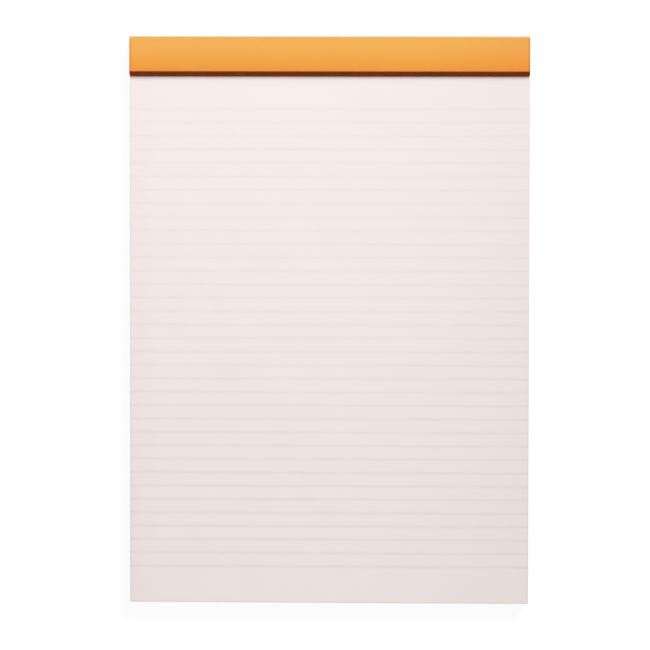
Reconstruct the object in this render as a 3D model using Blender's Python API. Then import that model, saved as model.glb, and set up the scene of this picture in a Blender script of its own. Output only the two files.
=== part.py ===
"""Head-stapled A4 notepad, lying face up with its card cover folded right back.

The ruled sheets and their greyboard are wire-stitched at the head inside one scored card cover.
The card starts as a band on the back, goes over the head and down the front as a fixed strip, turns
back on itself round two scores with a short riser between them, and returns to the head as the strip
on view. From there a spine panel drops down the head, and the cover panel lies behind the pad.
Closed, the same card reaches from the fold to the tail, so the cover panel's length follows from the
sheets and the scores.

Metres. +X is to the right, +Y is towards the head, +Z is up. The origin is below the middle of the pad.
"""

import math

import bpy
from mathutils import Vector
from mathutils.geometry import interpolate_bezier

# Sheets and board
SHEET_WIDTH = 0.210
SHEET_LENGTH = 0.297
BLOCK_THICKNESS = 0.0077
BOARD_THICKNESS = 0.0010

# Cover card and its scores
CARD = 0.00035
STRIP_HEIGHT = 0.0202
BAND_HEIGHT = 0.0185
HEAD_BEND = 0.0005
CREASE_RADIUS = 0.0006
HEAD_SLACK = 0.0009

# Sprung fold at the lower edge of the strip, measured on the card's middle surface
FOLD_RADIUS = 0.0004
RISER_SLOPE = 45
SHOULDER_RADIUS = 0.0003
SHOULDER_HEIGHT = 0.0022
STRIP_SLOPE = 2.5

# Wire stitches
WIRE = 0.00045
STITCH_CROWN = 0.0120
STITCH_SPACING = 0.1050
STITCH_FROM_HEAD = 0.0080
CLINCH = 0.0046
WIRE_BEND = 0.0005

# Clearances
SEAT_GAP = 0.0003
WIRE_GAP = 0.0002
CREASE_GAP = 0.0003

ARC_STEPS = 6
CURVE_STEPS = 12
WIRE_SIDES = 12

# Levels, from the underside of the cover panel up
clinch_middle = CARD + WIRE_GAP + WIRE / 2
band_middle = clinch_middle + WIRE / 2 + WIRE_GAP + CARD / 2
board_bottom = band_middle + CARD / 2 + SEAT_GAP
block_bottom = board_bottom + BOARD_THICKNESS + SEAT_GAP
block_top = block_bottom + BLOCK_THICKNESS
strip_middle = block_top + SEAT_GAP + CARD / 2
crown_middle = strip_middle + CARD / 2 + WIRE_GAP + WIRE / 2
crease_top = strip_middle + CARD / 2 + SEAT_GAP + CARD + HEAD_SLACK

# Depths, from the tail to the outermost card at the head
overall_length = SHEET_LENGTH + 2 * (SEAT_GAP + CARD)
tail = -overall_length / 2
head = tail + SHEET_LENGTH
wrap_spine = head + SEAT_GAP + CARD / 2
panel_spine = wrap_spine + CARD + SEAT_GAP
outer_head = panel_spine + CARD / 2
fold_tip = outer_head - STRIP_HEIGHT + CARD / 2
stitch_line = head - STITCH_FROM_HEAD

# The cover panel ends where the closed cover would meet the tail
cover_panel_length = overall_length - 2 * STRIP_HEIGHT - crease_top


def clear_scene():
    for existing in list(bpy.data.objects):
        bpy.data.objects.remove(existing, do_unlink=True)


def material(name, colour, roughness, metallic=0.0):
    made = bpy.data.materials.new(name)
    made.use_nodes = True
    shader = made.node_tree.nodes["Principled BSDF"]
    shader.inputs["Base Color"].default_value = (*colour, 1.0)
    shader.inputs["Roughness"].default_value = roughness
    shader.inputs["Metallic"].default_value = metallic
    return made


def add_object(name, data, finish, origin=Vector((0, 0, 0))):
    made = bpy.data.objects.new(name, data)
    bpy.context.scene.collection.objects.link(made)
    made.location = origin
    data.materials.append(finish)
    return made


def arc(centre, radius, start_degrees, end_degrees):
    """Points of an arc in the section plane, where 0 degrees points to the head and 90 points up."""
    points = []
    for step in range(ARC_STEPS + 1):
        turn = math.radians(start_degrees + (end_degrees - start_degrees) * step / ARC_STEPS)
        points.append((centre[0] + radius * math.cos(turn), centre[1] + radius * math.sin(turn)))
    return points


def sweep(start, start_handle, end_handle, end):
    """Points of a smooth curve in the section plane, without its first point."""
    knots = [Vector((0, *knot)) for knot in (start, start_handle, end_handle, end)]
    return [(point.y, point.z) for point in interpolate_bezier(*knots, CURVE_STEPS + 1)[1:]]


def card_piece(name, centreline, finish, origin=Vector((0, 0, 0))):
    """Card of the pad's width, bent along a centreline in the section plane and given its thickness."""
    mesh = bpy.data.meshes.new(name)
    points = []
    for depth, height in centreline:
        for side in (-SHEET_WIDTH / 2, SHEET_WIDTH / 2):
            points.append(Vector((side, depth, height)) - origin)
    faces = [(2 * row, 2 * row + 1, 2 * row + 3, 2 * row + 2) for row in range(len(centreline) - 1)]
    mesh.from_pydata(points, [], faces)
    piece = add_object(name, mesh, finish, origin)
    mesh.shade_smooth()
    mesh.set_sharp_from_angle(angle=math.radians(30))
    thickness = piece.modifiers.new("card_thickness", "SOLIDIFY")
    thickness.thickness = CARD
    thickness.offset = 0
    thickness.use_even_offset = True
    return piece


def slab(name, bottom, thickness, finish):
    """A flat rectangular layer of the pad, head and tail edges flush with the sheets."""
    mesh = bpy.data.meshes.new(name)
    sides = (-SHEET_WIDTH / 2, SHEET_WIDTH / 2)
    points = [(x, y, z) for z in (bottom, bottom + thickness) for y in (tail, head) for x in sides]
    faces = [(0, 2, 3, 1), (4, 5, 7, 6), (0, 1, 5, 4), (2, 6, 7, 3), (0, 4, 6, 2), (1, 3, 7, 5)]
    mesh.from_pydata(points, [], faces)
    return add_object(name, mesh, finish)


def wire_stitch(name, middle, finish):
    """One wire stitch: crown on the front strip, two legs through the pad, ends clinched inwards."""
    half_crown = STITCH_CROWN / 2
    inner = half_crown - WIRE_BEND
    outline = [(half_crown - CLINCH, clinch_middle)]
    outline += arc((inner, clinch_middle + WIRE_BEND), WIRE_BEND, -90, 0)
    outline += arc((inner, crown_middle - WIRE_BEND), WIRE_BEND, 0, 90)
    outline += [(-across, height) for across, height in reversed(outline)]
    path = bpy.data.curves.new(name, "CURVE")
    path.dimensions = "3D"
    path.bevel_depth = WIRE / 2
    path.bevel_resolution = WIRE_SIDES // 4 - 1
    path.use_fill_caps = True
    spline = path.splines.new("POLY")
    spline.points.add(len(outline) - 1)
    for point, (across, height) in zip(spline.points, outline):
        point.co = (middle + across, stitch_line, height, 1)
        point.radius = 1
    return add_object(name, path, finish)


def leg_holes():
    """Cutter of four round holes, one round each stitch leg, through everything the stitches hold."""
    mesh = bpy.data.meshes.new("leg_hole_cutter")
    points = []
    faces = []
    radius = WIRE / 2 + SEAT_GAP
    for middle in (-STITCH_SPACING / 2, STITCH_SPACING / 2):
        for leg in (middle - STITCH_CROWN / 2, middle + STITCH_CROWN / 2):
            first = len(points)
            for height in (clinch_middle, crown_middle):
                for side in range(WIRE_SIDES):
                    turn = 2 * math.pi * (side + 0.5) / WIRE_SIDES
                    across = leg + radius * math.cos(turn)
                    points.append((across, stitch_line + radius * math.sin(turn), height))
            ring = range(WIRE_SIDES)
            faces.append([first + side for side in reversed(ring)])
            faces.append([first + WIRE_SIDES + side for side in ring])
            for side in ring:
                following = (side + 1) % WIRE_SIDES
                upper = first + WIRE_SIDES
                faces.append((first + side, first + following, upper + following, upper + side))
    mesh.from_pydata(points, [], faces)
    cutter = bpy.data.objects.new("leg_hole_cutter", mesh)
    bpy.context.scene.collection.objects.link(cutter)
    cutter.hide_render = True
    cutter.display_type = "WIRE"
    return cutter


def pierce(piece, cutter):
    holes = piece.modifiers.new("leg_holes", "BOOLEAN")
    holes.operation = "DIFFERENCE"
    holes.object = cutter


def wrap_centreline():
    """Fixed card: back band, head, front strip, sprung fold, and the strip on view up to its crease."""
    bend = HEAD_BEND + CARD / 2
    line = [(head - BAND_HEIGHT, band_middle)]
    line += arc((wrap_spine - bend, band_middle + bend), bend, -90, 0)
    line += arc((wrap_spine - bend, strip_middle - bend), bend, 0, 90)
    line += fold_centreline()
    crease = arc(top_crease_centre(), CREASE_RADIUS, 90 - STRIP_SLOPE, 45 + crease_gap_degrees())
    shoulder = line[-1]
    reach = (crease[0][0] - shoulder[0]) / 3
    lift = reach * math.tan(math.radians(STRIP_SLOPE))
    rising = (shoulder[0] + reach, shoulder[1] + lift)
    falling = (crease[0][0] - reach, crease[0][1] + lift)
    line += sweep(shoulder, rising, falling, crease[0])[:-1]
    return line + crease


def fold_centreline():
    """Sprung fold: round the lower score, up the riser, and over the upper score at its shoulder."""
    lower = (fold_tip + FOLD_RADIUS, strip_middle + FOLD_RADIUS)
    line = arc(lower, FOLD_RADIUS, 270, 90 + RISER_SLOPE)
    slope = math.radians(RISER_SLOPE)
    turned = SHOULDER_RADIUS * (math.cos(math.radians(STRIP_SLOPE)) - math.cos(slope))
    rise = strip_middle + SHOULDER_HEIGHT - turned - line[-1][1]
    upper = (line[-1][0] + rise / math.tan(slope) + SHOULDER_RADIUS * math.sin(slope),
             line[-1][1] + rise - SHOULDER_RADIUS * math.cos(slope))
    return line + arc(upper, SHOULDER_RADIUS, 90 + RISER_SLOPE, 90 + STRIP_SLOPE)


def top_crease_centre():
    return (panel_spine - CREASE_RADIUS, crease_top - CARD / 2 - CREASE_RADIUS)


def bottom_crease_centre():
    return (panel_spine - CREASE_RADIUS, CARD / 2 + CREASE_RADIUS)


def crease_gap_degrees():
    """Half the gap that parts two panels, as an angle round their crease."""
    return math.degrees(CREASE_GAP / 2 / CREASE_RADIUS)


def spine_panel_centreline():
    """Card down the outside of the head, from the middle of one crease to the middle of the next."""
    line = arc(top_crease_centre(), CREASE_RADIUS, 45 - crease_gap_degrees(), 0)
    return line + arc(bottom_crease_centre(), CREASE_RADIUS, 0, -45 + crease_gap_degrees())


def cover_panel_centreline():
    """Card that lies behind the pad, from the middle of its crease to its free edge."""
    line = arc(bottom_crease_centre(), CREASE_RADIUS, -45 - crease_gap_degrees(), -90)
    return line + [(outer_head - cover_panel_length, CARD / 2)]


clear_scene()

paper = material("ruled_paper", (0.86, 0.80, 0.78), 0.75)
greyboard = material("greyboard", (0.33, 0.31, 0.28), 0.85)
cover_card = material("coated_orange_card", (0.89, 0.41, 0.10), 0.42)
steel_wire = material("stitching_wire", (0.55, 0.55, 0.56), 0.35, 1.0)

holes = leg_holes()

block = slab("sheet_block", block_bottom, BLOCK_THICKNESS, paper)
board = slab("backing_board", board_bottom, BOARD_THICKNESS, greyboard)
wrap = card_piece("cover_wrap", wrap_centreline(), cover_card)
for stitched in (block, board, wrap):
    pierce(stitched, holes)

for stitch_name, stitch_side in (("staple_left", -1), ("staple_right", 1)):
    wire_stitch(stitch_name, stitch_side * STITCH_SPACING / 2, steel_wire)

# Each panel's origin lies on its crease, at the outer corner of the fold, where the card hinges
top_crease = Vector((0, outer_head, crease_top))
bottom_crease = Vector((0, outer_head, 0))
spine_panel = card_piece("cover_spine_panel", spine_panel_centreline(), cover_card, top_crease)
cover_panel = card_piece("cover_panel", cover_panel_centreline(), cover_card, bottom_crease)
cover_panel.parent = spine_panel
cover_panel.location = bottom_crease - top_crease
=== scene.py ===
import math

import bpy
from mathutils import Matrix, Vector
from mathutils.geometry import interpolate_bezier


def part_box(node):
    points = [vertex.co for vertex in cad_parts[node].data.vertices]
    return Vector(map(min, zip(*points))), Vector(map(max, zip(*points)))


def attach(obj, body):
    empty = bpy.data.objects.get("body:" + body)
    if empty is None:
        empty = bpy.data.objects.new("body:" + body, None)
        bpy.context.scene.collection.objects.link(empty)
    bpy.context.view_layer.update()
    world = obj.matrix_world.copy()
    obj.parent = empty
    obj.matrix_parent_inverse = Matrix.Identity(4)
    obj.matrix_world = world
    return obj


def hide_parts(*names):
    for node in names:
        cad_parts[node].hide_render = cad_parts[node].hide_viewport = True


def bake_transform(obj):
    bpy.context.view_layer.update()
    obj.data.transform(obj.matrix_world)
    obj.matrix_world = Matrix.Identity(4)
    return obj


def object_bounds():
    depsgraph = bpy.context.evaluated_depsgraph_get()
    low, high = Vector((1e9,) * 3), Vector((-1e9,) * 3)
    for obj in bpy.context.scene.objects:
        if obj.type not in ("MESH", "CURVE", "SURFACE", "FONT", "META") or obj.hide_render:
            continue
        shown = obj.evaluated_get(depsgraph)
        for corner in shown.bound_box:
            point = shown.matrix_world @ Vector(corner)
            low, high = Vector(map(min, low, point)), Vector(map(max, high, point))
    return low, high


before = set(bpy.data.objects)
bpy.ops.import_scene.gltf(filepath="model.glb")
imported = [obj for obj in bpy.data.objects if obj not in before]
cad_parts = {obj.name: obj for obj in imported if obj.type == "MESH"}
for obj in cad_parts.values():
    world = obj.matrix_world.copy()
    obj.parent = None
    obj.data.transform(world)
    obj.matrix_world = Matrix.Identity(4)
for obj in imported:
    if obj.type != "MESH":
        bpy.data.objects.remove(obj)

cad_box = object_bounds()


# ---------------------------------------------------------------------------------------------
# Backing board: a sheet of 1 mm recycled greyboard under the leaves, cut with them on the
# guillotine. Its edges are square, with the arrises a little crushed and the plies just showing.
# ---------------------------------------------------------------------------------------------

BOARD_ARRIS = 0.00008
ARRIS_STEPS = 2
BOARD_WAVE = 0.00003
BOARD_CELLS = 20
BOARD_CLUMP = 0.004
BOARD_FIBRE = 0.0005
FIBRE_RELIEF = 0.00006
BOARD_PLY = 0.00065
# Squeezing the pattern along the web draws its fibres out
WEB_SQUEEZE = 0.35
FLECK_SPACING = 0.003
FLECK_CORE = 0.06
FLECK_RIM = 0.16
FLECK_DARKNESS = 0.6

# A Wave texture of scale 1 runs through this many radians in each unit of length
WAVE_RADIANS = 20
# Corners more gentle than this are shaded as round
GENTLE_CORNER = math.radians(25)
# A colour Mix node's sockets go by number, because its hidden number sockets share their names
FACTOR, FIRST, SECOND = 0, 6, 7
MIXED = 2


def linear(code):
    """An sRGB hex colour as linear red, green, blue and alpha."""
    channels = [int(code[place:place + 2], 16) / 255 for place in (0, 2, 4)]
    return (*[c / 12.92 if c <= 0.04045 else ((c + 0.055) / 1.055) ** 2.4 for c in channels], 1.0)


def new_material(name):
    """A new material and its node tree, emptied."""
    made = bpy.data.materials.new(name)
    made.use_nodes = True
    made.node_tree.nodes.clear()
    return made, made.node_tree


def add(tree, kind, inputs=None, **settings):
    """Adds a node with its settings. An input is a value, or the socket that feeds it."""
    node = tree.nodes.new(kind)
    for name, value in settings.items():
        setattr(node, name, value)
    for socket, value in (inputs or {}).items():
        if isinstance(value, bpy.types.NodeSocket):
            tree.links.new(value, node.inputs[socket])
        else:
            node.inputs[socket].default_value = value
    return node


def select_only(piece):
    """Back to object mode, with this piece active and nothing else selected."""
    if bpy.context.mode != "OBJECT":
        bpy.ops.object.mode_set(mode="OBJECT")
    bpy.ops.object.select_all(action="DESELECT")
    bpy.context.view_layer.objects.active = piece
    piece.select_set(True)


def begin(name):
    """Names the primitive just added, puts its place and size in its mesh, and opens it for editing."""
    piece = bpy.context.object
    piece.name = name
    piece.data.name = name
    select_only(piece)
    bpy.ops.object.transform_apply(location=True, rotation=True, scale=True)
    bpy.ops.object.mode_set(mode="EDIT")
    bpy.ops.mesh.select_all(action="SELECT")
    return piece


def finish_mesh(piece, *finishes):
    """Closes editing, rounds the shading of gentle corners and gives the piece its materials."""
    select_only(piece)
    bpy.ops.object.shade_smooth_by_angle(angle=GENTLE_CORNER)
    for finish in finishes:
        piece.data.materials.append(finish)


bpy.ops.object.select_all(action="DESELECT")
low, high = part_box("backing_board")
bpy.ops.mesh.primitive_cube_add(size=1, location=(low + high) / 2,
                                scale=high - low - 2 * Vector([BOARD_WAVE] * 3))
board = begin("greyboard_back")
bpy.ops.mesh.bevel(offset=BOARD_ARRIS, segments=ARRIS_STEPS, affect="EDGES")
# Cut into cells, so that the whole board can be made a little uneven
for cut in range(1, BOARD_CELLS):
    here = low + (high - low) * cut / BOARD_CELLS
    bpy.ops.mesh.select_all(action="SELECT")
    bpy.ops.mesh.bisect(plane_co=here, plane_no=(0, 1, 0))
    bpy.ops.mesh.select_all(action="SELECT")
    bpy.ops.mesh.bisect(plane_co=here, plane_no=(1, 0, 0))
bpy.ops.mesh.select_all(action="SELECT")
bpy.ops.transform.vertex_random(offset=BOARD_WAVE, uniform=0.0, normal=0.0, seed=3)

# Recycled greyboard, made up wet from waste paper: dull and matt, with soft clumps, dark flecks
# and fibres that lie along the web. Fibres and plies are too fine to show, so they are drawn coarse.
greyboard, tree = new_material("recycled greyboard, matt")
place = add(tree, "ShaderNodeTexCoord").outputs["Object"]
clumps = add(tree, "ShaderNodeTexNoise", {"Vector": place, "Scale": 1 / BOARD_CLUMP, "Detail": 5.0})
laid = add(tree, "ShaderNodeMapping", {"Vector": place, "Scale": (WEB_SQUEEZE, 1.0, 1.0)})
fibres = add(tree, "ShaderNodeTexNoise",
             {"Vector": laid.outputs["Vector"], "Scale": 1 / BOARD_FIBRE, "Detail": 5.0,
              "Roughness": 0.65})
flecks = add(tree, "ShaderNodeTexVoronoi",
             {"Vector": laid.outputs["Vector"], "Scale": 1 / FLECK_SPACING})
fleck = add(tree, "ShaderNodeMapRange",
            {"Value": flecks.outputs["Distance"], "From Min": FLECK_CORE, "From Max": FLECK_RIM,
             "To Min": FLECK_DARKNESS, "To Max": 0.0})
plies = add(tree, "ShaderNodeTexWave",
            {"Vector": place, "Scale": math.tau / WAVE_RADIANS / BOARD_PLY, "Distortion": 1.5},
            bands_direction="Z")
ground = add(tree, "ShaderNodeMix",
             {FACTOR: clumps.outputs["Fac"], FIRST: linear("8A857B"), SECOND: linear("ACA699")},
             data_type="RGBA")
fibrous = add(tree, "ShaderNodeMix",
              {FACTOR: fibres.outputs["Fac"], FIRST: ground.outputs[MIXED], SECOND: linear("B9B3A6")},
              data_type="RGBA")
banded = add(tree, "ShaderNodeMix",
             {FACTOR: plies.outputs["Fac"], FIRST: fibrous.outputs[MIXED], SECOND: linear("8F897E")},
             data_type="RGBA")
flecked = add(tree, "ShaderNodeMix",
              {FACTOR: fleck.outputs["Result"], FIRST: banded.outputs[MIXED], SECOND: linear("5B5750")},
              data_type="RGBA")
relief = add(tree, "ShaderNodeBump",
             {"Height": fibres.outputs["Fac"], "Strength": 0.5, "Distance": FIBRE_RELIEF})
shader = add(tree, "ShaderNodeBsdfPrincipled",
             {"Base Color": flecked.outputs[MIXED], "Roughness": 0.92,
              "Normal": relief.outputs["Normal"], "Specular IOR Level": 0.25})
add(tree, "ShaderNodeOutputMaterial", {"Surface": shader.outputs["BSDF"]})

finish_mesh(board, greyboard)
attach(board, "pad")
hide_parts("backing_board")


# ---------------------------------------------------------------------------------------------
# Sheets: eighty leaves of smooth, faintly pink-white writing paper, ruled on a machine in pale
# grey that runs off both sides, then knocked up square and cut in one pile. Each cut leaf edge
# stands a hair in or out of the next, and the blade leaves the top leaf's edge rolled over.
# ---------------------------------------------------------------------------------------------

LEAVES = 80
LEAF_EDGE_SHARE = 0.6
LEAF_GROOVE = 0.00006
LEAF_STEPS = (0.00001, 0.00003, 0.00002, 0.00004, 0.00002, 0.00001, 0.00003)
ROLL_WIDTH = 0.0014
ROLL_DROP = 0.00007
ROLL_STEPS = 4

RULE_PITCH = 0.007084
RULE_COUNT = 35
FIRST_RULE_FROM_TAIL = 0.26017
RULE_WIDTH = 0.0012
RULE_EDGE = 0.0012
INK_PATCH = 0.011
# Shares of full ink in the thinnest patches and near the head, and how far down the second holds
PATCH_INK = 0.55
HEADWARD_INK = 0.5
HEADWARD_RUN = 0.099

PAPER_CLOUD = 0.018
PAPER_TOOTH = 0.0004
TOOTH_RELIEF = 0.00003
# Painted shade: how far in from the right side the paper darkens and how steeply, then how far in from
# the left and how much
RIGHT_SHADE_REACH = 0.141
RIGHT_SHADE_CURVE = 2.0
LEFT_SHADE_REACH = 0.014
LEFT_SHADE_SHARE = 0.4
# Painted shade in a band along the sides and tail: its width and its share
EDGE_SHADE_WIDTH = 0.0010
EDGE_SHADE_SHARE = 0.1
# How far before the card's fold the painted orange bounce light reaches
BOUNCE_REACH = 0.0022

CUT_STREAK = 0.0004
CUT_STREAK_STRETCH = 50
STREAK_RELIEF = 0.00006
CUT_DRAG = 0.0024

# Nearly all of a Noise texture lies between these values
NOISE_LOW, NOISE_HIGH = 0.3, 0.7
# A face whose normal rises by more than this looks up, such as the top leaf and its rolled edge
LOOKING_UP = 0.9


def extrude(along):
    """Carries the selected edge or face on in a straight line."""
    bpy.ops.mesh.extrude_region_move(TRANSFORM_OT_translate={"value": along})


def reshape(before, after, middle):
    """Scales the selected outline from one width and length to another, about the pad's middle."""
    share = (after[0] / before[0], after[1] / before[1], 1)
    bpy.ops.transform.resize(value=share, center_override=middle)


low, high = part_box("sheet_block")
sheet = high - low
middle = (low + high) / 2
leaf = sheet.z / LEAVES
leaf_edge = leaf * LEAF_EDGE_SHARE
groove_side = (leaf - leaf_edge) / 2
groove = (sheet.x - 2 * LEAF_GROOVE, sheet.y - 2 * LEAF_GROOVE)
bpy.ops.object.select_all(action="DESELECT")
bpy.ops.mesh.primitive_plane_add(size=sheet.x, location=(middle.x, middle.y, low.z))
block = begin("sheets")
reshape((sheet.x, sheet.x), groove, middle)
for number in range(LEAVES):
    step = LEAF_STEPS[number % len(LEAF_STEPS)]
    edge = (sheet.x - 2 * step, sheet.y - 2 * step)
    extrude((0, 0, groove_side))
    reshape(groove, edge, middle)
    if number < LEAVES - 1:
        extrude((0, 0, leaf_edge))
        extrude((0, 0, groove_side))
        reshape(edge, groove, middle)
extrude((0, 0, leaf_edge + groove_side - ROLL_DROP))
quarter_step = math.pi / 2 / ROLL_STEPS
for step in range(ROLL_STEPS):
    rise = ROLL_DROP * (math.sin(quarter_step * (step + 1)) - math.sin(quarter_step * step))
    bpy.ops.mesh.inset(thickness=ROLL_WIDTH / ROLL_STEPS, depth=rise)
bpy.ops.mesh.select_all(action="SELECT")
bpy.ops.mesh.normals_make_consistent(inside=False)

# Writing paper: machine-finished, so it is nearly flat, with a very fine tooth and a cloudy look.
# Painted shade darkens it towards the sides and in a thin band along its sides and tail, and painted
# orange bounce light warms it just before the card's fold.
# The printed ruling takes more ink towards the tail, and is too fine to show as it is, so it is drawn
# four times as broad, and fainter. The tooth is drawn coarse too.
ruled_paper, tree = new_material("smooth ruled writing paper")
place = add(tree, "ShaderNodeTexCoord").outputs["Object"]
axes = add(tree, "ShaderNodeSeparateXYZ", {"Vector": place})
from_first = add(tree, "ShaderNodeMath",
                 {0: low.y + FIRST_RULE_FROM_TAIL, 1: axes.outputs["Y"]}, operation="SUBTRACT")
off_line = add(tree, "ShaderNodeMath",
               {0: from_first.outputs[0], 1: RULE_PITCH / 2}, operation="PINGPONG")
line = add(tree, "ShaderNodeMapRange",
           {"Value": off_line.outputs[0], "From Min": (RULE_WIDTH - RULE_EDGE) / 2,
            "From Max": (RULE_WIDTH + RULE_EDGE) / 2, "To Min": 1.0, "To Max": 0.0})
above = add(tree, "ShaderNodeMath",
            {0: from_first.outputs[0], 1: -RULE_PITCH / 2}, operation="GREATER_THAN")
below = add(tree, "ShaderNodeMath",
            {0: from_first.outputs[0], 1: (RULE_COUNT - 0.5) * RULE_PITCH}, operation="LESS_THAN")
ruled_part = add(tree, "ShaderNodeMath", {0: above.outputs[0], 1: below.outputs[0]}, operation="MULTIPLY")
patches = add(tree, "ShaderNodeTexNoise", {"Vector": place, "Scale": 1 / INK_PATCH, "Detail": 3.0})
ink = add(tree, "ShaderNodeMapRange",
          {"Value": patches.outputs["Fac"], "From Min": NOISE_LOW, "From Max": NOISE_HIGH,
           "To Min": PATCH_INK})
tailward = add(tree, "ShaderNodeMapRange",
               {"Value": axes.outputs["Y"], "From Min": high.y - HEADWARD_RUN, "From Max": low.y,
                "To Min": HEADWARD_INK})
flow = add(tree, "ShaderNodeMath",
           {0: ink.outputs["Result"], 1: tailward.outputs["Result"]}, operation="MULTIPLY")
inked = add(tree, "ShaderNodeMath", {0: line.outputs["Result"], 1: flow.outputs[0]}, operation="MULTIPLY")
rules = add(tree, "ShaderNodeMath", {0: inked.outputs[0], 1: ruled_part.outputs[0]}, operation="MULTIPLY")
cloudy = add(tree, "ShaderNodeTexNoise", {"Vector": place, "Scale": 1 / PAPER_CLOUD, "Detail": 4.0})
white = add(tree, "ShaderNodeMix",
            {FACTOR: cloudy.outputs["Fac"], FIRST: linear("F4E9E7"), SECOND: linear("F8EDEB")},
            data_type="RGBA")
# Painted shade: the paper darkens towards its right side, and a little towards its left
rightward = add(tree, "ShaderNodeMapRange",
                {"Value": axes.outputs["X"], "From Min": high.x - RIGHT_SHADE_REACH, "From Max": high.x})
right_painted_shade = add(tree, "ShaderNodeMath",
                   {0: rightward.outputs["Result"], 1: RIGHT_SHADE_CURVE}, operation="POWER")
left_painted_shade = add(tree, "ShaderNodeMapRange",
                  {"Value": axes.outputs["X"], "From Min": low.x + LEFT_SHADE_REACH, "From Max": low.x,
                   "To Max": LEFT_SHADE_SHARE})
painted_shading = add(tree, "ShaderNodeMath",
             {0: right_painted_shade.outputs[0], 1: left_painted_shade.outputs["Result"]}, operation="MAXIMUM")
with_painted_shading = add(tree, "ShaderNodeMix",
            {FACTOR: painted_shading.outputs[0], FIRST: white.outputs[MIXED], SECOND: linear("EEE4E2")},
            data_type="RGBA")
# Painted shade in a thin band along the sides and the tail
sideways = add(tree, "ShaderNodeMath", {0: axes.outputs["X"]}, operation="ABSOLUTE")
at_side = add(tree, "ShaderNodeMapRange",
              {"Value": sideways.outputs[0], "From Min": high.x - EDGE_SHADE_WIDTH,
               "From Max": high.x - EDGE_SHADE_WIDTH / 2})
at_tail = add(tree, "ShaderNodeMapRange",
              {"Value": axes.outputs["Y"], "From Min": low.y + EDGE_SHADE_WIDTH,
               "From Max": low.y + EDGE_SHADE_WIDTH / 2})
at_edge = add(tree, "ShaderNodeMath",
              {0: at_side.outputs["Result"], 1: at_tail.outputs["Result"]}, operation="MAXIMUM")
edge_shade = add(tree, "ShaderNodeMath", {0: at_edge.outputs[0], 1: EDGE_SHADE_SHARE}, operation="MULTIPLY")
edge_shaded = add(tree, "ShaderNodeMix",
            {FACTOR: edge_shade.outputs[0], FIRST: with_painted_shading.outputs[MIXED], SECOND: linear("B9AFAD")},
            data_type="RGBA")
# Painted orange bounce light from the card, warming the paper just before its fold
fold_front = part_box("cover_wrap")[0].y
by_fold = add(tree, "ShaderNodeMapRange",
              {"Value": axes.outputs["Y"], "From Min": fold_front - BOUNCE_REACH, "From Max": fold_front},
              interpolation_type="SMOOTHSTEP")
painted_bounce = add(tree, "ShaderNodeMix",
           {FACTOR: by_fold.outputs["Result"], FIRST: edge_shaded.outputs[MIXED], SECOND: linear("FFD1A1")},
           data_type="RGBA", blend_type="MULTIPLY")
printed = add(tree, "ShaderNodeMix",
              {FACTOR: rules.outputs[0], FIRST: painted_bounce.outputs[MIXED], SECOND: linear("F3F2F2")},
              data_type="RGBA", blend_type="MULTIPLY")
tooth = add(tree, "ShaderNodeTexNoise",
            {"Vector": place, "Scale": 1 / PAPER_TOOTH, "Detail": 4.0, "Roughness": 0.6})
relief = add(tree, "ShaderNodeBump",
             {"Height": tooth.outputs["Fac"], "Strength": 0.25, "Distance": TOOTH_RELIEF})
shader = add(tree, "ShaderNodeBsdfPrincipled",
             {"Base Color": printed.outputs[MIXED], "Roughness": 0.72,
              "Normal": relief.outputs["Normal"], "Specular IOR Level": 0.1})
add(tree, "ShaderNodeOutputMaterial", {"Surface": shader.outputs["BSDF"]})

# Cut paper edges: greyer than the face, streaked along the leaves where the blade dragged them.
# Single leaves are too fine to show, so the streaks are drawn about four leaves thick.
cut_paper, tree = new_material("guillotined paper edges")
place = add(tree, "ShaderNodeTexCoord").outputs["Object"]
along_leaves = add(tree, "ShaderNodeMapping",
                   {"Vector": place, "Scale": (1 / CUT_STREAK_STRETCH, 1 / CUT_STREAK_STRETCH, 1.0)})
streaks = add(tree, "ShaderNodeTexNoise",
              {"Vector": along_leaves.outputs["Vector"], "Scale": 1 / CUT_STREAK, "Detail": 3.0,
               "Roughness": 0.7})
deep = add(tree, "ShaderNodeMapRange",
           {"Value": streaks.outputs["Fac"], "From Min": NOISE_LOW, "From Max": NOISE_HIGH})
drag = add(tree, "ShaderNodeTexNoise", {"Vector": place, "Scale": 1 / CUT_DRAG, "Detail": 4.0})
streaked = add(tree, "ShaderNodeMix",
               {FACTOR: deep.outputs["Result"], FIRST: linear("CFC6C2"), SECOND: linear("F3ECE9")},
               data_type="RGBA")
dragged = add(tree, "ShaderNodeMix",
              {FACTOR: drag.outputs["Fac"], FIRST: streaked.outputs[MIXED], SECOND: linear("E6DEDA")},
              data_type="RGBA")
relief = add(tree, "ShaderNodeBump",
             {"Height": streaks.outputs["Fac"], "Strength": 0.3, "Distance": STREAK_RELIEF})
shader = add(tree, "ShaderNodeBsdfPrincipled",
             {"Base Color": dragged.outputs[MIXED], "Roughness": 0.85,
              "Normal": relief.outputs["Normal"], "Specular IOR Level": 0.25})
add(tree, "ShaderNodeOutputMaterial", {"Surface": shader.outputs["BSDF"]})

finish_mesh(block, ruled_paper, cut_paper)
for face in block.data.polygons:
    on_top = face.normal.z > LOOKING_UP and face.center.z > high.z - leaf
    face.material_index = 0 if on_top else 1
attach(block, "pad")
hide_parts("sheet_block")


# ---------------------------------------------------------------------------------------------
# Wire stitches: two lengths of galvanised steel wire, 0.45 mm thick, driven down through the
# fixed strip, leaves and board at the head, and clinched inwards on the back band. Each is cut
# from the reel at a slant, so its ends are chisel points.
# ---------------------------------------------------------------------------------------------

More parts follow.
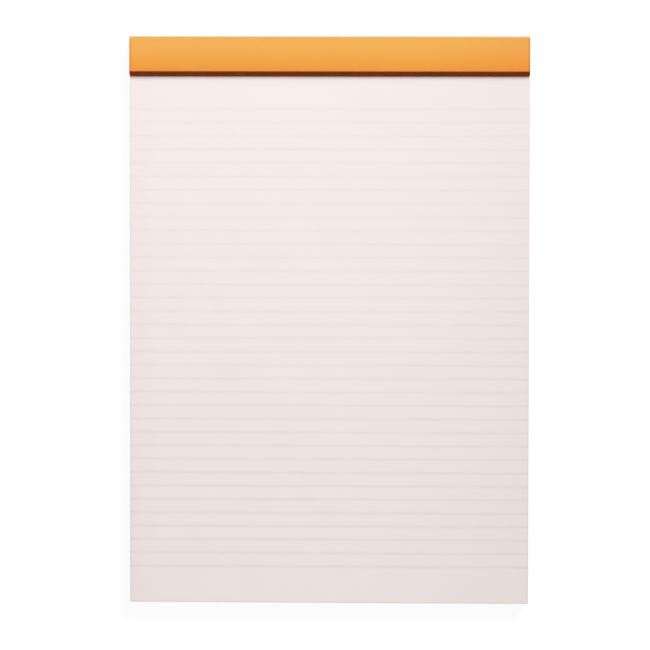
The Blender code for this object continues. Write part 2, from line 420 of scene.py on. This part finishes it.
WIRE_SIDES = 16
WIRE_BEND = 0.0005
BEND_STEPS = 6
CLINCH = 0.0046
POINT_LENGTH = 0.0005
POINT_WIDTH = 0.9
POINT_HEIGHT = 0.3
TOUCHING = 0.000001
SPANGLE = 0.00055
DRAW_LINE = 0.00007
DRAW_LINE_STRETCH = 12
DRAW_LINE_RELIEF = 0.00001
ZINC_BRIGHT, ZINC_DULL = 0.28, 0.5

low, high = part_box("staple_left")
wire = high.y - low.y
middle = (low + high) / 2
bend_out = (high.x - low.x) / 2 - wire / 2 - WIRE_BEND
bend_low = low.z + wire / 2 + WIRE_BEND
bend_high = high.z - wire / 2 - WIRE_BEND
clinch_run = CLINCH - WIRE_BEND - POINT_LENGTH
start = Vector((middle.x + bend_out + WIRE_BEND - CLINCH, middle.y, low.z + wire / 2))
wire_underside = start - Vector((0, 0, wire / 2))


def bend_wire(side, height):
    """Turns the wire a quarter round, at the bend that one of its legs has at this height."""
    bpy.ops.mesh.spin(steps=BEND_STEPS, angle=math.pi / 2, axis=(0, 1, 0),
                      center=(middle.x + side * bend_out, middle.y, height))


def point_wire(width, height):
    """Draws the wire's end in to a chisel point on its underside, or back out to full size."""
    bpy.ops.transform.resize(value=(1, width, height), center_override=wire_underside)


bpy.ops.object.select_all(action="DESELECT")
bpy.ops.mesh.primitive_circle_add(vertices=WIRE_SIDES, radius=wire / 2, fill_type="NGON",
                                  rotation=(0, math.pi / 2, 0), location=start)
stitch = begin("wire_stitch_left")
point_wire(POINT_WIDTH, POINT_HEIGHT)
extrude((POINT_LENGTH, 0, 0))
point_wire(1 / POINT_WIDTH, 1 / POINT_HEIGHT)
extrude((clinch_run, 0, 0))
bend_wire(1, bend_low)
extrude((0, 0, bend_high - bend_low))
bend_wire(1, bend_high)
extrude((-2 * bend_out, 0, 0))
bend_wire(-1, bend_high)
extrude((0, 0, bend_low - bend_high))
bend_wire(-1, bend_low)
extrude((clinch_run, 0, 0))
extrude((POINT_LENGTH, 0, 0))
point_wire(POINT_WIDTH, POINT_HEIGHT)
bpy.ops.mesh.select_all(action="SELECT")
bpy.ops.mesh.remove_doubles(threshold=TOUCHING)
bpy.ops.mesh.normals_make_consistent(inside=False)

# Galvanised steel wire: a dull zinc skin with cloudy spangle, and lines drawn along it by the die.
# The die lines are too fine to show, so they are drawn coarse, six or so across the wire.
galvanised, tree = new_material("galvanised steel wire")
place = add(tree, "ShaderNodeTexCoord").outputs["Object"]
spangle = add(tree, "ShaderNodeTexVoronoi", {"Vector": place, "Scale": 1 / SPANGLE})
drawn = add(tree, "ShaderNodeMapping",
            {"Vector": place, "Scale": (1 / DRAW_LINE_STRETCH, 1.0, 1 / DRAW_LINE_STRETCH)})
lines = add(tree, "ShaderNodeTexNoise", {"Vector": drawn.outputs["Vector"], "Scale": 1 / DRAW_LINE})
zinc = add(tree, "ShaderNodeMix",
           {FACTOR: spangle.outputs["Distance"], FIRST: linear("B9BBBE"), SECOND: linear("989B9F")},
           data_type="RGBA")
shine = add(tree, "ShaderNodeMapRange",
            {"Value": spangle.outputs["Distance"], "To Min": ZINC_BRIGHT, "To Max": ZINC_DULL})
relief = add(tree, "ShaderNodeBump",
             {"Height": lines.outputs["Fac"], "Strength": 0.3, "Distance": DRAW_LINE_RELIEF})
shader = add(tree, "ShaderNodeBsdfPrincipled",
             {"Base Color": zinc.outputs[MIXED], "Metallic": 1.0, "Roughness": shine.outputs["Result"],
              "Normal": relief.outputs["Normal"]})
add(tree, "ShaderNodeOutputMaterial", {"Surface": shader.outputs["BSDF"]})

finish_mesh(stitch, galvanised)
bpy.ops.object.duplicate()
other_stitch = bpy.context.object
other_stitch.name = "wire_stitch_right"
other_stitch.data.name = "wire_stitch_right"
bpy.ops.transform.translate(value=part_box("staple_right")[0] - low)
bpy.ops.object.transform_apply(location=True, rotation=True, scale=True)
for piece, node in ((stitch, "staple_left"), (other_stitch, "staple_right")):
    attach(piece, "pad")
    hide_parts(node)


# ---------------------------------------------------------------------------------------------
# Cover card: one sheet of 260 g/m2 card, printed orange on its inside and coated a deeper orange
# outside. It is stitched on as a band behind and a strip in front, turns back over the stitches
# in a fold that springs open a little, and hinges on two scored creases at the head.
# ---------------------------------------------------------------------------------------------

# HEAD_BEND is an inner radius, and the other radii run to the middle of the card's thickness.
# HEAD_SLACK is how much further the strip on view lifts at the head, besides its own seat gap.
CARD = 0.00035
SEAT_GAP = 0.0003
HEAD_BEND = 0.0005
CREASE_RADIUS = 0.0006
HEAD_SLACK = 0.0009
BAND_HEIGHT = 0.0185
STRIP_HEIGHT = 0.0202
FOLD_RADIUS = 0.0004
RISER_SLOPE = math.radians(45)
SHOULDER_RADIUS = 0.0003
SHOULDER_HEIGHT = 0.0022
STRIP_SLOPE = math.radians(2.5)
COLUMNS = 42
ARC_STEPS = 8
CURVE_STEPS = 20

INK_MOTTLE = 0.0011
CARD_CLOUD = 0.022
CARD_GRAIN = 0.0007
GRAIN_RELIEF = 0.00003
# Painted shade: how far in from the right end the strip darkens
STRIP_RIGHT_SHADE = 0.055
# Painted shade: how broad the darker band along each end of the strip is
END_SHADE_WIDTH = 0.0014
# How much rougher and smoother than its plain finish the mottle leaves a face
DULLER, GLOSSIER = 0.07, 0.05
# How far out the darkening round the top crease reaches, in thicknesses of card
CREASE_DARK_INNER, CREASE_DARK_OUTER = 0.7, 1.3

# What the card wraps, and where it ends
block_low, block_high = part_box("sheet_block")
outer_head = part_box("cover_spine_panel")[1].y
band_end = block_high.y - BAND_HEIGHT
band_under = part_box("cover_wrap")[0].z
panel_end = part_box("cover_panel")[0].y
card_width = block_high.x - block_low.x
# Where the middle of the card's thickness runs on its flat stretches and round the two creases
band_middle = band_under + CARD / 2
strip_middle = block_high.z + SEAT_GAP + CARD / 2
wrap_spine = block_high.y + SEAT_GAP + CARD / 2
panel_spine = outer_head - CARD / 2
bend = HEAD_BEND + CARD / 2
crease_line = panel_spine - CREASE_RADIUS
top_crease = Vector((0, crease_line, strip_middle + CARD + SEAT_GAP + HEAD_SLACK - CREASE_RADIUS))
low_crease = Vector((0, crease_line, CARD / 2 + CREASE_RADIUS))
spine_middle = (top_crease.z + low_crease.z) / 2


def square_to(slope):
    """The upward direction square to card that rises towards the head at this slope."""
    return Vector((0, -math.sin(slope), math.cos(slope)))


# The sprung fold: round the fold, up the riser, over the shoulder and along the crowned strip
fold = Vector((0, outer_head - STRIP_HEIGHT + CARD / 2 + FOLD_RADIUS, strip_middle + FOLD_RADIUS))
riser_foot = fold + FOLD_RADIUS * square_to(RISER_SLOPE)
shoulder_rise = SHOULDER_RADIUS * (math.cos(STRIP_SLOPE) - math.cos(RISER_SLOPE))
riser_rise = strip_middle + SHOULDER_HEIGHT - shoulder_rise - riser_foot.z
riser = Vector((0, riser_rise / math.tan(RISER_SLOPE), riser_rise))
shoulder = riser_foot + riser - SHOULDER_RADIUS * square_to(RISER_SLOPE)
strip_start = shoulder + SHOULDER_RADIUS * square_to(STRIP_SLOPE)
strip_stop = top_crease + CREASE_RADIUS * square_to(-STRIP_SLOPE)
handle = (strip_stop.y - strip_start.y) / 3
strip_handles = (strip_start + handle * Vector((0, 1, math.tan(STRIP_SLOPE))),
                 strip_stop - handle * Vector((0, 1, -math.tan(STRIP_SLOPE))))


def lay_strip(name, start, end, height):
    """A flat strip of card across the pad, open for editing with its far edge selected."""
    bpy.ops.object.select_all(action="DESELECT")
    bpy.ops.mesh.primitive_grid_add(x_subdivisions=COLUMNS, y_subdivisions=1, size=card_width,
                                    location=(0, (start + end) / 2, height))
    piece = begin(name)
    bpy.ops.transform.resize(value=(1, (end - start) / card_width, 1),
                             center_override=(0, (start + end) / 2, height))
    bpy.ops.object.mode_set(mode="OBJECT")
    for face in piece.data.polygons:
        face.select = False
    for edge in piece.data.edges:
        edge.select = all(abs(piece.data.vertices[v].co.y - end) < CARD for v in edge.vertices)
    for vertex in piece.data.vertices:
        vertex.select = abs(vertex.co.y - end) < CARD
    bpy.ops.object.mode_set(mode="EDIT")
    bpy.ops.mesh.select_mode(type="EDGE")
    return piece


def fold_card(centre, turn):
    """Bends the card on round a line across the pad. A positive turn lifts card that runs headward."""
    bpy.ops.mesh.spin(steps=ARC_STEPS, angle=turn, axis=(-1, 0, 0), center=centre)


def sweep_card(start, handles, stop):
    """Carries the card on along one smooth curve between two points."""
    curve = interpolate_bezier(start, *handles, stop, CURVE_STEPS + 1)
    for here, there in zip(curve, curve[1:]):
        extrude(there - here)


def thicken_card(piece, upper, under, cut):
    """Gives the card its thickness, and keeps in it where each point lay when the card was printed.

    Its first strip takes one finish above, one below, and one on the cut edges."""
    select_only(piece)
    solid = piece.modifiers.new("card", "SOLIDIFY")
    solid.thickness = CARD
    solid.offset = 0
    solid.use_even_offset = True
    solid.material_offset = 1
    solid.material_offset_rim = 2
    for finish in (upper, under, cut):
        piece.data.materials.append(finish)
    bpy.ops.object.modifier_apply(modifier="card")
    finish_mesh(piece)
    print_place = piece.data.attributes.new("print_place", "FLOAT_VECTOR", "POINT")
    for vertex, stored in zip(piece.data.vertices, print_place.data):
        stored.vector = vertex.co


def strip_painted_shading(tree, place, plain):
    """The plain print, with painted light and shade where it is the strip: painted lighter at the head,
    painted shade to the right and along its two ends, darker round the top crease, and painted shade
    on the riser under the shoulder."""
    axes = add(tree, "ShaderNodeSeparateXYZ", {"Vector": place})
    # Painted light: paler towards the head and deeper orange towards the fold, as the strip's light falls
    # off
    headward = add(tree, "ShaderNodeMapRange",
                   {"Value": axes.outputs["Y"], "From Min": strip_start.y, "From Max": outer_head})
    strip = add(tree, "ShaderNodeMix",
                {FACTOR: headward.outputs["Result"], FIRST: linear("F29D40"), SECOND: linear("EDB15B")},
                data_type="RGBA")
    # Painted shade towards the strip's right end
    to_right = add(tree, "ShaderNodeMapRange",
                   {"Value": axes.outputs["X"], "From Min": card_width / 2 - STRIP_RIGHT_SHADE,
                    "From Max": card_width / 2})
    right_shaded = add(tree, "ShaderNodeMix",
                {FACTOR: to_right.outputs["Result"], FIRST: strip.outputs[MIXED],
                 SECOND: linear("FAF4F1")},
                data_type="RGBA", blend_type="MULTIPLY")
    # Painted shade along the strip's two ends
    sideways = add(tree, "ShaderNodeMath", {0: axes.outputs["X"]}, operation="ABSOLUTE")
    at_end = add(tree, "ShaderNodeMapRange",
                 {"Value": sideways.outputs[0], "From Min": card_width / 2 - END_SHADE_WIDTH,
                  "From Max": card_width / 2 - END_SHADE_WIDTH / 2})
    ends_shaded = add(tree, "ShaderNodeMix",
               {FACTOR: at_end.outputs["Result"], FIRST: right_shaded.outputs[MIXED],
                SECOND: linear("ECE7E1")},
               data_type="RGBA", blend_type="MULTIPLY")
    over_crease = add(tree, "ShaderNodeMapRange",
                      {"Value": axes.outputs["Z"], "From Min": top_crease.z - CREASE_RADIUS,
                       "From Max": top_crease.z})
    with_painted_shading = add(tree, "ShaderNodeMix",
                {FACTOR: over_crease.outputs["Result"], FIRST: plain, SECOND: ends_shaded.outputs[MIXED]},
                data_type="RGBA")
    flat = add(tree, "ShaderNodeMapping", {"Vector": place, "Scale": (0.0, 1.0, 1.0)})
    off_crease = add(tree, "ShaderNodeVectorMath",
                     {0: flat.outputs["Vector"], 1: top_crease}, operation="DISTANCE")
    on_crease = add(tree, "ShaderNodeMapRange",
                    {"Value": off_crease.outputs["Value"],
                     "From Min": CREASE_RADIUS + CREASE_DARK_INNER * CARD,
                     "From Max": CREASE_RADIUS + CREASE_DARK_OUTER * CARD, "To Min": 1.0, "To Max": 0.0})
    crease_darkened = add(tree, "ShaderNodeMix",
                 {FACTOR: on_crease.outputs["Result"], FIRST: with_painted_shading.outputs[MIXED],
                  SECOND: linear("D8AB65")},
                 data_type="RGBA")
    # Painted shade: the riser is painted dark red-orange, standing in for the shadow it lies in
    riser_shade_mask = add(tree, "ShaderNodeMapRange",
                   {"Value": axes.outputs["Y"], "From Min": (riser_foot + riser).y,
                    "From Max": strip_start.y, "To Min": 1.0, "To Max": 0.0})
    deep = add(tree, "ShaderNodeMix",
               {FACTOR: riser_shade_mask.outputs["Result"], FIRST: crease_darkened.outputs[MIXED],
                SECOND: linear("D4500C")},
               data_type="RGBA")
    return deep.outputs[MIXED]


def printed_card(name, tones, roughness, specular, painted_shading=None):
    """A card face: printed tone with a faint mottle, over the card's own slight unevenness, with any
    painted light and shade that is given.
    """
    made, tree = new_material(name)
    place = add(tree, "ShaderNodeAttribute", attribute_name="print_place").outputs["Vector"]
    mottle = add(tree, "ShaderNodeTexNoise", {"Vector": place, "Scale": 1 / INK_MOTTLE, "Detail": 5.0})
    cloud = add(tree, "ShaderNodeTexNoise", {"Vector": place, "Scale": 1 / CARD_CLOUD, "Detail": 3.0})
    uneven = add(tree, "ShaderNodeMath",
                 {0: mottle.outputs["Fac"], 1: cloud.outputs["Fac"]}, operation="MULTIPLY")
    plain = add(tree, "ShaderNodeMix",
                {FACTOR: uneven.outputs[0], FIRST: linear(tones[0]), SECOND: linear(tones[1])},
                data_type="RGBA")
    colour = painted_shading(tree, place, plain.outputs[MIXED]) if painted_shading else plain.outputs[MIXED]
    gloss = add(tree, "ShaderNodeMapRange",
                {"Value": mottle.outputs["Fac"], "To Min": roughness - GLOSSIER,
                 "To Max": roughness + DULLER})
    grain = add(tree, "ShaderNodeTexNoise", {"Vector": place, "Scale": 1 / CARD_GRAIN, "Detail": 3.0})
    relief = add(tree, "ShaderNodeBump",
                 {"Height": grain.outputs["Fac"], "Strength": 0.2, "Distance": GRAIN_RELIEF})
    shader = add(tree, "ShaderNodeBsdfPrincipled",
                 {"Base Color": colour, "Roughness": gloss.outputs["Result"],
                  "Normal": relief.outputs["Normal"], "Specular IOR Level": specular,
                  "Subsurface Weight": 0.3, "Subsurface Radius": (1.0, 0.15, 0.03),
                  "Subsurface Scale": 0.0008})
    add(tree, "ShaderNodeOutputMaterial", {"Surface": shader.outputs["BSDF"]})
    return made


# Printed card, inner side: a plain orange ink on smooth card, satin and warm right through
card_inside = printed_card("orange-printed card, satin inner side", ("EFA84F", "EFA64D"),
                           roughness=0.5, specular=0.12)
# On the strip the print carries painted light and shade: lighter at the head, shaded to the right, along
# its ends and on the riser.
strip_inside = printed_card("orange-printed card, inner side on the strip", ("EFA84F", "EFA64D"),
                            roughness=0.5, specular=0.12, painted_shading=strip_painted_shading)
# Coated card, outer side: deeper orange under a clay coating that takes a soft shine
card_outside = printed_card("coated card, deep orange outer side", ("EE6F1E", "E86617"),
                            roughness=0.36, specular=0.45)
# Cut card: dull raw edges where the die has pressed the pulp, paler than either face
card_edge = printed_card("cut edge of orange card", ("E0A468", "D89A5C"), roughness=0.8, specular=0.2)

wrap = lay_strip("cover_card_head", band_end, wrap_spine - bend, band_middle)
fold_card((0, wrap_spine - bend, band_middle + bend), math.pi / 2)
extrude((0, 0, strip_middle - band_middle - 2 * bend))
fold_card((0, wrap_spine - bend, strip_middle - bend), math.pi / 2)
extrude((0, fold.y - wrap_spine + bend, 0))
fold_card(fold, RISER_SLOPE - math.pi)
extrude(riser)
fold_card(shoulder, STRIP_SLOPE - RISER_SLOPE)
sweep_card(strip_start, strip_handles, strip_stop)
fold_card(top_crease, STRIP_SLOPE - math.pi / 2)
extrude((0, 0, spine_middle - top_crease.z))
thicken_card(wrap, strip_inside, card_outside, card_edge)
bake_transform(wrap)
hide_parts("cover_wrap", "cover_spine_panel")

cover = lay_strip("cover_card_back", panel_end, crease_line, CARD / 2)
fold_card(low_crease, math.pi / 2)
extrude((0, 0, spine_middle - low_crease.z))
thicken_card(cover, card_outside, card_inside, card_edge)
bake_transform(cover)
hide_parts("cover_panel")


# ---------------------------------------------------------------------------------------------
# Studio: a plain white sweep, one large softbox to the right beyond the head of the pad, and a
# weak fill. The camera looks nearly straight down on the pad from 2.2 m above it.
# ---------------------------------------------------------------------------------------------

FLOOR_SIZE = 6.0
FLOOR_GAP = 0.0001
SWEEP_GRAIN = 0.0033
SWEEP_WHITE = 0.95
SWEEP_LIGHT = 0.6
# Each softbox by its place, its width and its watts
KEY_PLACE, KEY_SIZE, KEY_POWER = (1.98, 3.42, 3.14), 2.1, 348
FILL_PLACE, FILL_SIZE, FILL_POWER = (-0.55, 0.83, 0.47), 0.4, 2.2
# The camera turned by degrees, with its sensor and lens in millimetres
CAMERA_PLACE = (0.0776, 0.1136, 2.2)
CAMERA_TURN = (-3.0260, 2.0918, 0.0833)
CAMERA_SENSOR = 36
CAMERA_LENS = 231.108


def seen_ray(tree):
    """One for a ray that ends in the camera, a reflection or a view through glass, otherwise nought."""
    rays = add(tree, "ShaderNodeLightPath")
    reflected = add(tree, "ShaderNodeMath",
                    {0: rays.outputs["Is Camera Ray"], 1: rays.outputs["Is Glossy Ray"]},
                    operation="MAXIMUM")
    return add(tree, "ShaderNodeMath",
               {0: reflected.outputs[0], 1: rays.outputs["Is Transmission Ray"]},
               operation="MAXIMUM").outputs[0]


def softbox(name, place, size, power):
    """A square area lamp that faces the pad."""
    bpy.ops.object.light_add(type="AREA", location=place)
    lamp = bpy.context.object
    lamp.name = name
    lamp.data.shape = "SQUARE"
    lamp.data.size = size
    lamp.data.energy = power
    lamp.rotation_euler = (-Vector(place)).to_track_quat("-Z", "Y").to_euler()


bpy.ops.object.select_all(action="DESELECT")
bpy.ops.mesh.primitive_plane_add(size=FLOOR_SIZE, location=(0, 0, cad_box[0].z - FLOOR_GAP))
floor = begin("studio_floor")

# White sweep lit from below: seen, it is white with the pad's faint shadow on it, and it throws
# an even, weaker light on the pad's sides. Its grain is coarser than a real sweep's, to show.
sweep, tree = new_material("white sweep, lit from below")
place = add(tree, "ShaderNodeTexCoord").outputs["Object"]
grain = add(tree, "ShaderNodeTexNoise", {"Vector": place, "Scale": 1 / SWEEP_GRAIN, "Detail": 3.0})
seen = seen_ray(tree)
grainy = add(tree, "ShaderNodeMix",
             {FACTOR: grain.outputs["Fac"], FIRST: linear("505050"), SECOND: linear("595959")},
             data_type="RGBA")
surface = add(tree, "ShaderNodeMix",
              {FACTOR: seen, FIRST: linear("616161"), SECOND: grainy.outputs[MIXED]},
              data_type="RGBA")
brightness = add(tree, "ShaderNodeMapRange",
                 {"Value": seen, "To Min": SWEEP_LIGHT, "To Max": SWEEP_WHITE})
matt = add(tree, "ShaderNodeBsdfDiffuse", {"Color": surface.outputs[MIXED]})
glow = add(tree, "ShaderNodeEmission",
           {"Color": linear("FFFFFF"), "Strength": brightness.outputs["Result"]})
lit = add(tree, "ShaderNodeAddShader", {0: matt.outputs["BSDF"], 1: glow.outputs["Emission"]})
add(tree, "ShaderNodeOutputMaterial", {"Surface": lit.outputs["Shader"]})
finish_mesh(floor, sweep)

# The air round the pad: white where it is seen, and otherwise a dim, even light
world = bpy.data.worlds.new("studio")
bpy.context.scene.world = world
world.use_nodes = True
tree = world.node_tree
tree.nodes.clear()
air = add(tree, "ShaderNodeMix",
          {FACTOR: seen_ray(tree), FIRST: linear("4B4B4B"), SECOND: linear("FFFFFF")},
          data_type="RGBA")
sky = add(tree, "ShaderNodeBackground", {"Color": air.outputs[MIXED], "Strength": 1.0})
add(tree, "ShaderNodeOutputWorld", {"Surface": sky.outputs["Background"]})

softbox("key_softbox", KEY_PLACE, KEY_SIZE, KEY_POWER)
softbox("fill_softbox", FILL_PLACE, FILL_SIZE, FILL_POWER)

bpy.ops.object.camera_add(location=CAMERA_PLACE, rotation=[math.radians(turn) for turn in CAMERA_TURN])
camera = bpy.context.object
camera.data.sensor_width = CAMERA_SENSOR
camera.data.lens = CAMERA_LENS
bpy.context.scene.camera = camera
bpy.context.scene.view_settings.view_transform = "Standard"
